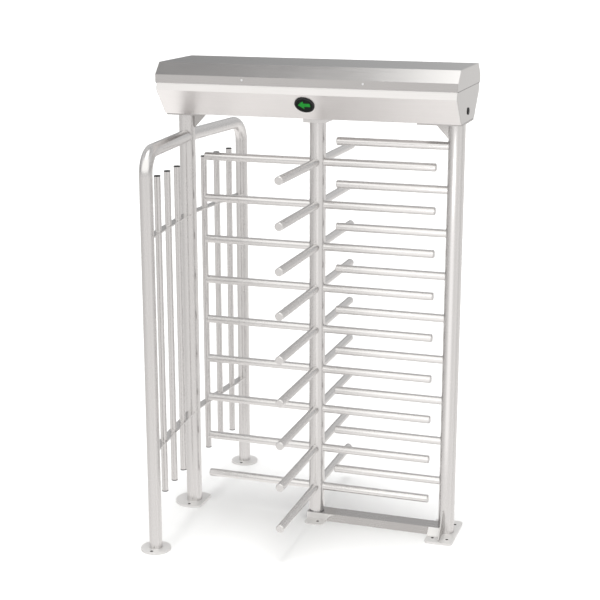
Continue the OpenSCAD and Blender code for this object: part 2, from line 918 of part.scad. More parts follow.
module frame_bolts() {
    color(steel) both_sides() {
        for (p = [-post_x, post_x], x = [-bolt_dx, bolt_dx])
            translate([p + x, -rail_box_y, plate_z]) bolt(plate_z - flange_z);
        for (x = plate_bolt_x) translate([x, -rail_box_y, deck_z]) bolt(plate_t + 2 * rail_box_wall);
    }
}

module mechanism_plate() {
    color(dark_steel) difference() {
        translate([plate_x0, -plate_half, plate_z])
            cube([plate_x1 - plate_x0, 2 * plate_half, plate_t]);
        translate([0, 0, plate_z - cut])
            cylinder(r = housing_r + housing_clear, h = plate_t + 2 * cut);
        for (x = plate_bolt_x, y = [-rail_box_y, rail_box_y])
            translate([x, y, plate_z - cut]) cylinder(r = bolt_r + run_gap, h = plate_t + 2 * cut);
    }
}

module bearing_housing() {
    floor_z = bearing_z - housing_floor;
    color(dark_steel) difference() {
        union() {
            translate([0, 0, deck_z + weld_gap]) cylinder(r = housing_flange_r, h = housing_flange_t);
            translate([0, 0, floor_z]) cylinder(r = housing_r, h = deck_z - floor_z + cut);
        }
        translate([0, 0, bearing_z]) cylinder(r = seat_r + weld_gap, h = head_top);
        translate([0, 0, floor_z - cut]) cylinder(r = seat_r - housing_lip, h = housing_floor + 2 * cut);
    }
}

module race_groove() {
    translate([0, 0, bearing_z + bearing_h / 2]) rotate_extrude()
        translate([ball_pitch_r, 0]) circle(r = race_r);
}

module bearing_outer_ring() {
    color(steel) difference() {
        ring(seat_r, ball_pitch_r + race_shoulder, bearing_z + weld_gap, bearing_h);
        race_groove();
    }
}

module bearing_inner_ring() {
    color(steel) difference() {
        ring(ball_pitch_r - race_shoulder, shaft_r + weld_gap, bearing_z + weld_gap, bearing_h);
        race_groove();
    }
}

module bearing_balls() {
    color(steel) for (i = [0:ball_count - 1]) rotate([0, 0, i * 360 / ball_count])
        translate([ball_pitch_r, 0, bearing_z + bearing_h / 2]) sphere(r = ball_r);
}

module bearing_cover() {
    color(steel) difference() {
        translate([-cover_block_x / 2, -cover_block_y / 2, cover_block_z])
            cube([cover_block_x, cover_block_y, cover_block_h - weld_gap]);
        translate([0, 0, cover_block_z - cut])
            cylinder(r = shaft_r + shaft_pass, h = cover_block_h + 2 * cut);
    }
}

// ---- Rotor ----

module rotor_column() {
    color(steel) tube(post_r, post_wall, column_bottom_z, column_top_z);
}

module rotor_arms(angle) {
    color(steel) rotate([0, 0, angle]) for (i = [0:arm_levels - 1])
        translate([0, 0, arm_first_z + i * arm_pitch]) difference() {
            closed_bar(post_r / 2, arm_reach, arm_r, arm_wall);
            cylinder(r = post_r + weld_gap, h = 3 * arm_d, center = true);
        }
}

module rotor_arms_front() {
    rotor_arms(-90);
}

module rotor_arms_left() {
    rotor_arms(180);
}

module rotor_arms_rear() {
    rotor_arms(90);
}

module rotor_arms_right() {
    rotor_arms(0);
}

module column_hubs() {
    color(dark_steel) {
        ring(hub_r, shaft_r + weld_gap, column_top_z - top_hub_h, top_hub_h);
        ring(hub_r, bush_r + weld_gap, column_bottom_z, bottom_hub_h);
    }
}

module pivot_bush() {
    color(brass_tone) ring(bush_r, pivot_r + run_gap, column_bottom_z, bottom_hub_h);
}

module drive_shaft() {
    color(steel) {
        translate([0, 0, shaft_bottom_z])
            cylinder(r = shaft_r, h = shaft_top_z - shaft_chamfer - shaft_bottom_z);
        translate([0, 0, shaft_top_z - shaft_chamfer])
            cylinder(r1 = shaft_r, r2 = shaft_r - shaft_chamfer, h = shaft_chamfer);
    }
}

module locking_disc() {
    color(dark_steel) difference() {
        on_hub(lock_z, lock_t, lock_hub) translate([0, 0, lock_z]) cylinder(r = lock_r, h = lock_t);
        for (a = [0:90:270]) rotate([0, 0, a + lock_a[0]])
            translate([notch_bottom, -notch_w / 2, lock_z - cut])
                cube([lock_r, notch_w, lock_t + 2 * cut]);
    }
}

module drive_gear() {
    color(brass_tone) difference() {
        on_hub(gear_z, gear_t, gear_hub) translate([0, 0, gear_z])
            linear_extrude(height = gear_t) polygon(gear_outline(gear_teeth));
        for (a = [0:60:300]) rotate([0, 0, a]) translate([gear_window_x, 0, gear_z - cut])
            cylinder(r = gear_window_r, h = gear_t + 2 * cut);
    }
}

// ---- Pinions, and the units that they drive ----

module at_mesh(angle) {
    rotate([0, 0, angle]) translate([mesh_r, 0, 0]) children();
}

// A pinion with a gap between two teeth turned to the drive gear
module pinion_body() {
    rotate([0, 0, 180 + 180 / pinion_teeth]) linear_extrude(height = pinion_t)
        polygon(gear_outline(pinion_teeth));
}

module crank_pinion() {
    color(brass_tone) at_mesh(crank_a) difference() {
        union() {
            translate([0, 0, pinion_z]) pinion_body();
            translate([0, 0, pinion_z + pinion_t - cut]) cylinder(r = crank_disc_r, h = crank_disc_t + cut);
            translate([crank_throw, 0, pinion_z + pinion_t])
                cylinder(r = crank_pin_r, h = crank_pin_top_z - pinion_z - pinion_t);
        }
        translate([0, 0, pinion_z - cut])
            cylinder(r = stud_r + run_gap, h = pinion_t + crank_disc_t + 2 * cut);
    }
}

module spindle_pinion(angle, body_h) {
    z0 = deck_z + body_h - spindle_in;
    color(brass_tone) at_mesh(angle) {
        translate([0, 0, pinion_z]) pinion_body();
        translate([0, 0, z0])
            cylinder(r = spindle_r, h = pinion_z + pinion_t + spindle_out - z0);
    }
}

module damper_pinion() {
    spindle_pinion(damper_a, damper_h);
}

module encoder_pinion() {
    spindle_pinion(encoder_a, encoder_h);
}

module unit_body(angle, r, h) {
    at_mesh(angle) difference() {
        translate([0, 0, deck_z + weld_gap]) cylinder(r = r, h = h - weld_gap);
        translate([0, 0, deck_z + h - spindle_bore]) cylinder(r = spindle_r + run_gap, h = h);
    }
}

module damper() {
    color(dark_steel) unit_body(damper_a, damper_r, damper_h);
}

module encoder() {
    color(black) unit_body(encoder_a, encoder_r, encoder_h);
}

// ---- Locking pawls ----

module at_pawl(angle) {
    rotate([0, 0, angle]) translate([pawl_pivot[0], pawl_pivot[1], 0]) children();
}

module pawl(angle) {
    color(dark_steel) difference() {
        union() {
            rotate([0, 0, angle]) translate([0, 0, pawl_z])
                linear_extrude(height = pawl_t) polygon(pawl_outline);
            at_pawl(angle) translate([0, 0, pawl_z]) cylinder(r = pawl_boss_r, h = pawl_t);
        }
        at_pawl(angle) translate([0, 0, pawl_z - cut])
            cylinder(r = pawl_pin_r + run_gap, h = pawl_t + 2 * cut);
    }
}

module pawl_entry() {
    pawl(lock_a[0]);
}

module pawl_exit() {
    pawl(lock_a[1]);
}

module plunger(angle) {
    color(steel) rotate([0, 0, angle]) translate([pawl_face_x + plunger_gap, plunger_y, plunger_z])
        rotate([0, 90, 0]) cylinder(r = plunger_r, h = plunger_l);
}

module plunger_entry() {
    plunger(lock_a[0]);
}

module plunger_exit() {
    plunger(lock_a[1]);
}

module solenoids() {
    color(coil_black) for (a = lock_a) rotate([0, 0, a]) difference() {
        translate([solenoid_x, plunger_y - solenoid_w / 2, deck_z + weld_gap])
            cube([solenoid_l, solenoid_w, plunger_z - deck_z + solenoid_w / 2]);
        translate([solenoid_x - cut, plunger_y, plunger_z]) rotate([0, 90, 0])
            cylinder(r = plunger_r + loose_gap, h = plunger_l);
    }
}

// A pin that stands on the deck, with a shoulder that holds up the piece that turns on it
module shouldered_pin(r, shoulder_r, piece_z, piece_t) {
    translate([0, 0, deck_z + weld_gap])
        cylinder(r = shoulder_r, h = piece_z - deck_z - face_gap);
    translate([0, 0, deck_z + stud_seat])
        cylinder(r = r, h = piece_z + piece_t + stud_proud - deck_z - stud_seat);
}

module mechanism_studs() {
    color(steel) {
        for (a = lock_a) at_pawl(a) shouldered_pin(pawl_pin_r, pawl_shoulder_r, pawl_z, pawl_t);
        at_mesh(crank_a) shouldered_pin(stud_r, 2 * stud_r, pinion_z, pinion_t);
        translate([anchor_x, 0, deck_z + weld_gap]) {
            cylinder(r = 2 * stud_r, h = anchor_base_h);
            cylinder(r = stud_r, h = spring_z - deck_z + anchor_proud);
        }
    }
}

// ---- Springs ----

// The points of an open eye round the z axis, from the angle start
function eye(r, start) = [for (i = [0:eye_steps])
    let (a = start + i * eye_sweep / eye_steps) [-r * cos(a), r * sin(a), 0]];

module centring_spring() {
    pin = [-mesh_r - crank_throw, 0, spring_z];
    post = [anchor_x, 0, spring_z];
    pitch = (spring_end_x - spring_start_x) / spring_turns;
    path = concat(
        [for (p = eye(eye_r, eye_start)) pin + p],
        [for (i = [0:spring_turns * turn_steps]) let (a = i * 360 / turn_steps)
            [spring_start_x + pitch * i / turn_steps, -spring_coil_r * cos(a),
             spring_z + spring_coil_r * sin(a)]],
        [for (p = eye(eye_r + stud_r / 2, eye_start + 180)) post + [p[0], -p[1], 0]]);
    wire(path, spring_wire_r, wire_sides, [0, 0, 1]);
}

module pawl_spring() {
    z0 = deck_z + pawl_spring_rest;
    z1 = pawl_z - pawl_spring_rest;
    steps = pawl_turns * turn_steps;
    path = concat(
        [for (i = [0:steps]) let (a = i * 360 / turn_steps)
            [pawl_coil_r * cos(a), pawl_coil_r * sin(a), z0 + (z1 - z0) * i / steps]],
        [[pawl_spring_tip[0], pawl_spring_tip[1], z1]]);
    wire(path, pawl_wire_r, wire_sides, [0, 0, 1]);
}

module mechanism_springs() {
    color(steel) {
        centring_spring();
        for (a = lock_a) at_pawl(a) pawl_spring();
    }
}

// ---- Electronics ----

module control_board() {
    s = board_size;
    z = rail_box_z + board_lift;
    color(board_green) translate([board_x, 0, 0]) {
        translate([-s[0] / 2, -s[1] / 2, z]) cube(s);
        for (x = [-1, 1], y = [-1, 1])
            translate([x * (s[0] / 2 - board_edge), y * (s[1] / 2 - board_edge),
                       rail_box_z + weld_gap])
                cylinder(r = board_pillar_r, h = board_lift + s[2] + cut);
        for (i = [0:relay_count - 1])
            translate([relay_at[0] + i * relay_pitch, relay_at[1], z]) cube(relay_size);
        for (i = [0:terminal_count - 1])
            translate([terminal_at[0] + i * terminal_pitch, terminal_at[1], z])
                cube(terminal_size);
        translate([chip_at[0], chip_at[1], z]) cube(chip_size);
    }
}

module power_supply() {
    s = supply_size;
    color(alloy) translate([supply_x, 0, rail_box_z + weld_gap]) difference() {
        translate([-s[0] / 2, -s[1] / 2, 0]) cube(s);
        for (i = [0:slot_count - 1])
            translate([slot_x + i * slot_pitch, -slot_size[1] / 2, s[2] - slot_depth])
                cube(slot_size);
        translate([-s[0] / 2 - cut, -s[1] / 2 + recess_edge, s[2] / 2])
            cube([recess_l + cut, s[1] - 2 * recess_edge, s[2]]);
    }
}

left_post();
right_post();
right_post_base();
round_feet();
post_top_flanges();
gussets();
comb_bars();
guard_tube_front();
guard_tube_rear();
guard_rails();
guard_bars();
guard_bar_caps();
sill();
sill_brackets();
floor_pivot();
thrust_washer();
head_tray();
head_ends();
frame_rails();
frame_bolts();
mechanism_plate();
bearing_housing();
bearing_outer_ring();
bearing_balls();
bearing_cover();
indicator_bezels();
indicator_lenses();
indicator_arrows();
key_switch();
solenoids();
mechanism_studs();
mechanism_springs();
damper();
encoder();
control_board();
power_supply();
hinge_leaves_fixed();
rotor_column();
rotor_arms_front();
rotor_arms_left();
rotor_arms_rear();
rotor_arms_right();
column_hubs();
pivot_bush();
drive_shaft();
bearing_inner_ring();
locking_disc();
drive_gear();
head_cover();
cover_screws();
hinge_leaves_moving();
pawl_entry();
pawl_exit();
plunger_entry();
plunger_exit();
crank_pinion();
damper_pinion();
encoder_pinion();
key_barrel();
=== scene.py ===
import json
import math

import bmesh
import bpy
from mathutils import Matrix, Vector


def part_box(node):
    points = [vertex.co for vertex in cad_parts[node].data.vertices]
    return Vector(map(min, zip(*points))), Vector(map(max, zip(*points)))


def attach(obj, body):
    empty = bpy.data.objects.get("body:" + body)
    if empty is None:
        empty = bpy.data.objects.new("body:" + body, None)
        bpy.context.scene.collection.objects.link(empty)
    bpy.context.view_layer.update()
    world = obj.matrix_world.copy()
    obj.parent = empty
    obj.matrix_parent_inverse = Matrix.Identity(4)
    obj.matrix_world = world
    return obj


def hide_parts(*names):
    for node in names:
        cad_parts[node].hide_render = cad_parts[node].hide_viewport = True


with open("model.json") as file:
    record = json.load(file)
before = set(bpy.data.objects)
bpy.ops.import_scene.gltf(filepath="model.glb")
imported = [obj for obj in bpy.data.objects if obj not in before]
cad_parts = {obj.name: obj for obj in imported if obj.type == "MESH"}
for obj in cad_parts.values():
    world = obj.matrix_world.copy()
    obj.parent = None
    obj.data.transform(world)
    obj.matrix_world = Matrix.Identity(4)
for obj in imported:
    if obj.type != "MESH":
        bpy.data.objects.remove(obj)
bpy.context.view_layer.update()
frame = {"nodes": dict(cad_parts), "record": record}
nodes = frame["nodes"]
MM = 0.001


# ---------------------------------------------------------------- materials

def new_material(name):
    """An empty node material, with its principled shader already wired to the output."""
    mat = bpy.data.materials.new(name)
    mat.use_nodes = True
    tree = mat.node_tree
    tree.nodes.clear()
    out = tree.nodes.new("ShaderNodeOutputMaterial")
    bsdf = tree.nodes.new("ShaderNodeBsdfPrincipled")
    tree.links.new(bsdf.outputs["BSDF"], out.inputs["Surface"])
    return mat, tree, bsdf


def noise(tree, scale, stretch=(1, 1, 1), detail=3.0, roughness=0.55):
    """A noise texture in the piece's own space, stretched by a factor for each axis."""
    coords = tree.nodes.new("ShaderNodeTexCoord")
    mapping = tree.nodes.new("ShaderNodeMapping")
    mapping.inputs["Scale"].default_value = stretch
    texture = tree.nodes.new("ShaderNodeTexNoise")
    texture.inputs["Scale"].default_value = scale
    texture.inputs["Detail"].default_value = detail
    texture.inputs["Roughness"].default_value = roughness
    tree.links.new(coords.outputs["Object"], mapping.inputs["Vector"])
    tree.links.new(mapping.outputs["Vector"], texture.inputs["Vector"])
    return texture.outputs["Fac"]


def ranged(tree, value, low, high, start=0.3, end=0.7, smooth=False):
    """A value mapped from start..end to low..high."""
    node = tree.nodes.new("ShaderNodeMapRange")
    if smooth:
        node.interpolation_type = "SMOOTHSTEP"
    node.inputs["From Min"].default_value = start
    node.inputs["From Max"].default_value = end
    node.inputs["To Min"].default_value = low
    node.inputs["To Max"].default_value = high
    tree.links.new(value, node.inputs["Value"])
    return node.outputs["Result"]


def ramp(tree, value, stops):
    """A colour ramp through (place, colour) stops, given in rising order."""
    node = tree.nodes.new("ShaderNodeValToRGB")
    elements = node.color_ramp.elements
    elements[0].position = stops[0][0]
    elements[1].position = stops[-1][0]
    for place, _ in stops[1:-1]:
        elements.new(place)
    for element, (_, colour) in zip(elements, stops):
        element.color = (*colour, 1)
    tree.links.new(value, node.inputs["Fac"])
    return node.outputs["Color"]


def math_node(tree, operation, a, b):
    node = tree.nodes.new("ShaderNodeMath")
    node.operation = operation
    for socket, value in zip(node.inputs, (a, b)):
        if isinstance(value, (int, float)):
            socket.default_value = value
        else:
            tree.links.new(value, socket)
    return node.outputs["Value"]


def mixed_colour(tree, factor, a, b):
    """Colour a where the factor is 0, and b where it is 1."""
    node = tree.nodes.new("ShaderNodeMix")
    node.data_type = "RGBA"
    tree.links.new(factor, node.inputs["Factor"])
    for socket, value in ((node.inputs[6], a), (node.inputs[7], b)):
        if isinstance(value, tuple):
            socket.default_value = (*value, 1)
        else:
            tree.links.new(value, socket)
    return node.outputs[2]


def bump(tree, bsdf, height, strength, distance):
    node = tree.nodes.new("ShaderNodeBump")
    node.inputs["Strength"].default_value = strength
    node.inputs["Distance"].default_value = distance
    tree.links.new(height, node.inputs["Height"])
    tree.links.new(node.outputs["Normal"], bsdf.inputs["Normal"])


def shade(colour, factor):
    return tuple(min(1.0, c * factor) for c in colour)


def finish_material(name, colour, rough, metallic=1.0, grain=(1, 1, 1), grain_scale=300,
                    tone=0.03, cloud_scale=5.0, bump_strength=0.05, bump_distance=0.00005,
                    specular=0.5):
    """A surface with a directional grain, slow cloudy changes of tone, and a fine bump."""
    mat, tree, bsdf = new_material(name)
    bsdf.inputs["Metallic"].default_value = metallic
    bsdf.inputs["Specular IOR Level"].default_value = specular
    lines = noise(tree, grain_scale, grain, 2.0, 0.6)
    clouds = noise(tree, cloud_scale, (1, 1, 1), 4.0, 0.6)
    mixed = math_node(tree, "ADD", math_node(tree, "MULTIPLY", lines, 0.45),
                      math_node(tree, "MULTIPLY", clouds, 0.55))
    tree.links.new(ramp(tree, mixed, [(0.3, shade(colour, 1 - tone)), (0.5, colour),
                                      (0.7, shade(colour, 1 + tone))]),
                   bsdf.inputs["Base Color"])
    tree.links.new(ranged(tree, mixed, rough[0], rough[1]), bsdf.inputs["Roughness"])
    bump(tree, bsdf, lines, bump_strength, bump_distance)
    return mat


STEEL = (0.66, 0.646, 0.641)
ALONG = {"x": (0.02, 1, 1), "y": (1, 0.02, 1), "z": (1, 1, 0.02)}
steel = {axis: finish_material(f"satin_steel_{axis}", STEEL, (0.25, 0.29), grain=stretch,
                                grain_scale=900, tone=0.012, bump_strength=0.01)
         for axis, stretch in ALONG.items()}
# A darker copy of the satin steel for the cover and its ends: painted shade, standing for the darker
# reflection on the cover's slope.
shaded_cover_steel = finish_material("cover_sheet_painted_shade", (0.52, 0.508, 0.502), (0.13, 0.19), grain=ALONG["x"],
                              tone=0.03, cloud_scale=3.0)
# A lighter copy of the satin steel for the tray: painted light, for the bright band and taper under
# the cover.
lit_tray_steel = finish_material("tray_sheet_painted_light", (0.79, 0.77, 0.763), (0.33, 0.38), grain=ALONG["x"],
                             tone=0.03, cloud_scale=3.0)
plate_steel = finish_material("plate_steel", STEEL, (0.20, 0.30), grain=(1, 0.03, 1), tone=0.05)
blasted = finish_material("blasted_plate", (0.68, 0.668, 0.66), (0.34, 0.46), metallic=0.45,
                          grain_scale=700, tone=0.05, bump_strength=0.15)
# A darker copy of the satin steel for the top flanges, gussets and sill: painted shade, for where
# these sit in shadow under the head or reflect dark surroundings.
shaded_steel = {axis: finish_material(f"painted_shade_steel_{axis}", (0.45, 0.437, 0.43), (0.20, 0.30),
                                     grain=ALONG[axis], tone=0.05)
              for axis in ("x", "z")}
black_oxide = finish_material("black_oxide", (0.03, 0.03, 0.032), (0.28, 0.4), metallic=0.5,
                              grain_scale=700, tone=0.15, specular=0.3)
# Near-black colour for the walls of the anchor holes: painted shade, for the dark inside of the holes.
bore = finish_material("hole_painted_shade", (0.07, 0.065, 0.06), (0.4, 0.6), metallic=0.6,
                       grain_scale=500, tone=0.2, bump_strength=0.3)
zinc = finish_material("zinc_plate", (0.60, 0.61, 0.63), (0.34, 0.52), grain_scale=120, tone=0.12,
                       cloud_scale=28)
paint = finish_material("grey_paint", (0.33, 0.35, 0.37), (0.38, 0.5), metallic=0.0,
                        grain_scale=420, tone=0.07, bump_strength=0.25)
rubber_black = finish_material("black_plastic", (0.022, 0.022, 0.023), (0.42, 0.58), metallic=0.0,
                               grain_scale=900, tone=0.2, bump_strength=0.3, specular=0.15)
coil_black = finish_material("coil_black", (0.045, 0.045, 0.05), (0.36, 0.55), metallic=0.0,
                             grain_scale=700, tone=0.2, bump_strength=0.3)
bronze = finish_material("bronze", (0.62, 0.43, 0.2), (0.25, 0.42), grain_scale=260, tone=0.12)
gear_steel = finish_material("cut_steel", (0.46, 0.46, 0.47), (0.24, 0.36), grain_scale=420,
                             tone=0.08, cloud_scale=24, bump_strength=0.03)
bearing_steel = finish_material("ground_steel", (0.74, 0.74, 0.75), (0.07, 0.16), grain_scale=400,
                                tone=0.04, bump_strength=0.05)
spring_steel = finish_material("spring_steel", (0.40, 0.41, 0.43), (0.25, 0.4), grain_scale=500,
                               tone=0.15)
aluminium = finish_material("mill_aluminium", (0.66, 0.67, 0.68), (0.3, 0.45), grain=ALONG["x"],
                            tone=0.08)
weld = finish_material("weld_bead", (0.68, 0.666, 0.66), (0.26, 0.36), grain_scale=160, tone=0.06,
                       cloud_scale=60, bump_strength=0.3, bump_distance=0.0002)


def board_material():
    """Green solder mask over tracks, which show as slightly raised, lighter lines."""
    mat, tree, bsdf = new_material("circuit_board")
    coords = tree.nodes.new("ShaderNodeTexCoord")
    tracks = tree.nodes.new("ShaderNodeTexBrick")
    tracks.inputs["Scale"].default_value = 90
    tracks.inputs["Mortar Size"].default_value = 0.06
    tracks.inputs["Color1"].default_value = (0.01, 0.13, 0.05, 1)
    tracks.inputs["Color2"].default_value = (0.012, 0.16, 0.06, 1)
    tracks.inputs["Mortar"].default_value = (0.03, 0.26, 0.10, 1)
    tree.links.new(coords.outputs["Object"], tracks.inputs["Vector"])
    tree.links.new(tracks.outputs["Color"], bsdf.inputs["Base Color"])
    clouds = noise(tree, 60)
    tree.links.new(ranged(tree, clouds, 0.25, 0.4), bsdf.inputs["Roughness"])
    bump(tree, bsdf, tracks.outputs["Fac"], 0.3, 0.0001)
    return mat


def lens_material():
    """Dark smoked plastic, polished, with faint moulding clouds."""
    mat, tree, bsdf = new_material("smoked_lens")
    clouds = noise(tree, 90)
    tree.links.new(ramp(tree, clouds, [(0.3, (0.004, 0.006, 0.005)), (0.7, (0.010, 0.016, 0.012))]),
                   bsdf.inputs["Base Color"])
    tree.links.new(ranged(tree, clouds, 0.14, 0.22), bsdf.inputs["Roughness"])
    bsdf.inputs["Specular IOR Level"].default_value = 0.06
    bump(tree, bsdf, clouds, 0.05, 0.0001)
    return mat


def sign_material():
    """A lit green sign: rows of small light points that run together."""
    mat, tree, bsdf = new_material("lit_sign")
    coords = tree.nodes.new("ShaderNodeTexCoord")
    cells = tree.nodes.new("ShaderNodeTexVoronoi")
    cells.inputs["Scale"].default_value = 260
    cells.inputs["Randomness"].default_value = 0.15
    tree.links.new(coords.outputs["Object"], cells.inputs["Vector"])
    glow = ramp(tree, cells.outputs["Distance"],
                [(0.0, (0.03, 0.48, 0.05)), (0.55, (0.006, 0.19, 0.02))])
    tree.links.new(glow, bsdf.inputs["Base Color"])
    tree.links.new(glow, bsdf.inputs["Emission Color"])
    bsdf.inputs["Emission Strength"].default_value = 0.10
    bsdf.inputs["Specular IOR Level"].default_value = 0.1
    tree.links.new(ranged(tree, cells.outputs["Distance"], 0.2, 0.4, 0, 0.6), bsdf.inputs["Roughness"])
    bump(tree, bsdf, cells.outputs["Distance"], 0.2, 0.0002)
    return mat


relay_blue = finish_material("relay_case", (0.015, 0.05, 0.22), (0.28, 0.42), metallic=0.0,
                             grain_scale=700, tone=0.12, bump_strength=0.2)
terminal_green = finish_material("terminal_case", (0.03, 0.28, 0.08), (0.32, 0.46), metallic=0.0,
                                 grain_scale=700, tone=0.12, bump_strength=0.2)
board = board_material()
lens = lens_material()
sign = sign_material()

FINISH = {
    "left_post": steel["z"], "right_post": steel["z"], "right_post_base": blasted,
    "round_feet": blasted, "post_top_flanges": shaded_steel["x"], "gussets": shaded_steel["z"],
    "comb_bars": steel["x"], "guard_tube_front": steel["z"], "guard_tube_rear": steel["z"],
    "guard_rails": steel["y"], "guard_bars": steel["z"], "guard_bar_caps": rubber_black,
    "sill": shaded_steel["x"], "sill_brackets": blasted, "floor_pivot": zinc,
    "thrust_washer": bearing_steel, "head_tray": lit_tray_steel, "head_ends": shaded_cover_steel,
    "frame_rails": paint, "frame_bolts": zinc, "mechanism_plate": zinc, "bearing_housing": paint,
    "bearing_outer_ring": bearing_steel, "bearing_balls": bearing_steel,
    "bearing_cover": plate_steel, "indicator_bezels": rubber_black, "indicator_lenses": lens,
    "indicator_arrows": sign, "key_switch": rubber_black, "solenoids": coil_black,
    "mechanism_studs": zinc, "mechanism_springs": spring_steel, "damper": paint,
    "encoder": coil_black, "control_board": board, "power_supply": aluminium,
    "hinge_leaves_fixed": zinc, "rotor_column": steel["z"], "rotor_arms_front": steel["y"],
    "rotor_arms_left": steel["x"], "rotor_arms_rear": steel["y"], "rotor_arms_right": steel["x"],
    "column_hubs": zinc, "pivot_bush": bronze, "drive_shaft": gear_steel,
    "bearing_inner_ring": bearing_steel, "locking_disc": gear_steel, "drive_gear": gear_steel,
    "head_cover": shaded_cover_steel, "cover_screws": bearing_steel, "hinge_leaves_moving": zinc,
    "pawl_entry": gear_steel, "pawl_exit": gear_steel, "plunger_entry": zinc,
    "plunger_exit": zinc, "crank_pinion": gear_steel, "damper_pinion": gear_steel,
    "encoder_pinion": gear_steel, "key_barrel": black_oxide,
}
for name, mat in FINISH.items():
    nodes[name].data.materials.clear()
    nodes[name].data.materials.append(mat)

body_of_node = {n: b for b, group in frame["record"]["behaviour"]["bodies"].items() for n in group}


# ---------------------------------------------------------------- mesh helpers

def make_piece(name, mesh, mat, body):
    piece = bpy.data.objects.new(name, mesh)
    bpy.context.scene.collection.objects.link(piece)
    mesh.materials.append(mat)
    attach(piece, body)
    return piece


def finish_mesh(bm, name, sharp=40):
    """A mesh from the bmesh, smooth but for its edges over the sharp angle."""
    bmesh.ops.recalc_face_normals(bm, faces=bm.faces)
    mesh = bpy.data.meshes.new(name)
    bm.to_mesh(mesh)
    bm.free()
    mesh.shade_smooth()
    mesh.set_sharp_from_angle(angle=math.radians(sharp))
    return mesh


def welded_copy(node):
    """The CAD node's mesh as a bmesh, with its vertices merged and its flat faces whole."""
    source = nodes[node].data
    bm = bmesh.new()
    made = [bm.verts.new(v.co) for v in source.vertices]
    for face in source.polygons:
        try:
            bm.faces.new([made[i] for i in face.vertices])
        except ValueError:
            pass
    bmesh.ops.remove_doubles(bm, verts=bm.verts, dist=2e-6)
    bmesh.ops.dissolve_limit(bm, angle_limit=math.radians(0.3), verts=bm.verts, edges=bm.edges)
    return bm


def anchor_holes():
    """The centre and radius of each floor anchor hole, from the record's bolt patterns."""
    holes = []
    for mount in frame["record"]["mounts"]:
        if mount["kind"] != "bolt_pattern":
            continue
        dims = mount["dims"]
        across = dims.get("spacing_x_mm", 0) * MM / 2
        along = dims.get("spacing_y_mm", 0) * MM / 2
        for dx in {-across, across}:
            for dy in {-along, along}:
                holes.append((mount["pos_m"][0] + dx, mount["pos_m"][1] + dy,
                              dims["hole_r_mm"] * MM))
    return holes


def darken_bores(mesh, holes):
    """The walls of the anchor holes get a near-black colour: painted shade inside the holes."""
    mesh.materials.append(bore)
    for face in mesh.polygons:
        spot = face.center
        if abs(face.normal.z) < 0.9 and any(
                math.hypot(spot.x - x, spot.y - y) < r + 0.3 * MM for x, y, r in holes):
            face.material_index = 1


def softened(node, width, segments=2, angle=28):
    """The CAD node with its sharp edges rounded, which stands for the node."""
    bm = welded_copy(node)
    sharp = [e for e in bm.edges if len(e.link_faces) == 2
             and e.calc_face_angle() > math.radians(angle)]
    bmesh.ops.bevel(bm, geom=sharp, offset=width, segments=segments, profile=0.5, affect="EDGES",
                    clamp_overlap=True)
    piece = make_piece(node + "_finished", finish_mesh(bm, node + "_finished"), FINISH[node],
                       body_of_node[node])
    weighted = piece.modifiers.new("flat_faces", "WEIGHTED_NORMAL")
    weighted.keep_sharp = True
    if node in ("round_feet", "right_post_base", "sill_brackets"):
        darken_bores(piece.data, anchor_holes())
    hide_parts(node)
    return piece


def solids_of(node):
    """The lowest and highest corner of each separate solid of a CAD node."""
    bm = welded_copy(node)
    left = set(bm.verts)
    boxes = []
    for start in bm.verts:
        if start not in left:
            continue
        left.discard(start)
        found = [start]
        for vert in found:
            for edge in vert.link_edges:
                other = edge.other_vert(vert)
                if other in left:
                    left.discard(other)
                    found.append(other)
        boxes.append(tuple(Vector(pick(v.co[axis] for v in found) for axis in range(3))
                           for pick in (min, max)))
    bm.free()
    return sorted(boxes, key=lambda box: tuple(round(c, 5) for c in box[0] + box[1]))


def tube_along(bm, points, radius, sides=8, closed=True, ripple=0, depth=0.12):
    """A round tube along points. Its radius swells and narrows every few points for a weld."""
    count = len(points)
    centre = sum(points, Vector()) / count
    rings = []
    for i, point in enumerate(points):
        before = points[i - 1] if closed or i else point
        after = points[(i + 1) % count] if closed or i < count - 1 else point
        tangent = (after - before).normalized()
        outward = point - centre
        if outward.cross(tangent).length < 1e-6:
            outward = Vector((0, 0, 1)) if abs(tangent.z) < 0.9 else Vector((1, 0, 0))
        outward = (outward - tangent * outward.dot(tangent)).normalized()
        across = tangent.cross(outward)
        size = radius * (1 + depth * math.cos(2 * math.pi * i / ripple)) if ripple else radius
        rings.append([bm.verts.new(point + size * (math.cos(t) * outward + math.sin(t) * across))
                      for t in (2 * math.pi * k / sides for k in range(sides))])
    for i in range(count if closed else count - 1):
        a, b = rings[i], rings[(i + 1) % count]
        for k in range(sides):
            bm.faces.new((a[k], b[k], b[(k + 1) % sides], a[(k + 1) % sides]))
    if not closed:
        bm.faces.new(rings[0])
        bm.faces.new(list(reversed(rings[-1])))


def lathe(bm, profile, centre, axis="z", sides=32):
    """A body of revolution from (radius, height) pairs, closed where the radius is 0."""
    turn = {"z": Matrix.Identity(3), "x": Matrix(((0, 0, 1), (1, 0, 0), (0, 1, 0)))}[axis]
    rings = []
    for radius, height in profile:
        count = sides if radius > 0 else 1
        rings.append([bm.verts.new(Vector(centre) + turn @ Vector(
            (radius * math.cos(t), radius * math.sin(t), height)))
            for t in (2 * math.pi * k / sides for k in range(count))])
    for a, b in zip(rings, rings[1:]):
        for k in range(sides):
            corners = [a[k % len(a)], a[(k + 1) % len(a)], b[(k + 1) % len(b)], b[k % len(b)]]
            unique = list(dict.fromkeys(corners))
            if len(unique) > 2:
                bm.faces.new(unique)


